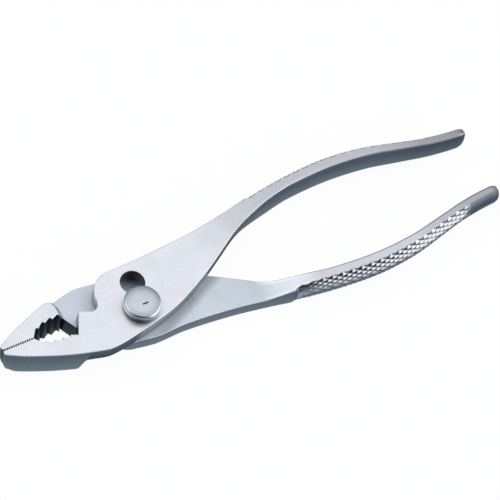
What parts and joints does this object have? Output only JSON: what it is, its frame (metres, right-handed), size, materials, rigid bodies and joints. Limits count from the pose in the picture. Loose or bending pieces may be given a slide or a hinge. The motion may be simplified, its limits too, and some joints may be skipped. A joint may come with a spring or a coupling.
{
  "type": "slip joint pliers",
  "caption": "Slip joint pliers: lapped forged steel levers with toothed jaws, pipe grip, shear cutter, two-seat slot and knurled handles on a pivot bolt.",
  "frame": {"origin": "on the pivot axis, in the plane of the back faces that the tool lies on", "axes": "+X from the pivot along the centreline to the handle ends, nose towards -X; +Y towards the slotted lever's handle; +Z out of the face with the bolt head"},
  "size_m": [0.1651, 0.0409, 0.0134],
  "materials": {
    "forged_steel": "satin plated, forged",
    "turned_steel": "turned and plated"
  },
  "bodies": {
    "rear_half": {"pin_lever": "forged_steel"},
    "pivot": {"pivot_bolt": "turned_steel", "pivot_nut": "turned_steel"},
    "front_half": {"slotted_lever": "forged_steel"}
  },
  "joints": [
    {"name": "jaw_hinge", "type": "hinge", "parent": "rear_half", "child": "pivot", "pos_m": [0, 0, 0], "axis": [0, 0, 1], "range_deg": [0, 55]},
    {"name": "slip", "type": "slide", "parent": "pivot", "child": "front_half", "axis": [-0.1564, -0.9877, 0], "range_m": [0, 0.0085]}
  ]
}
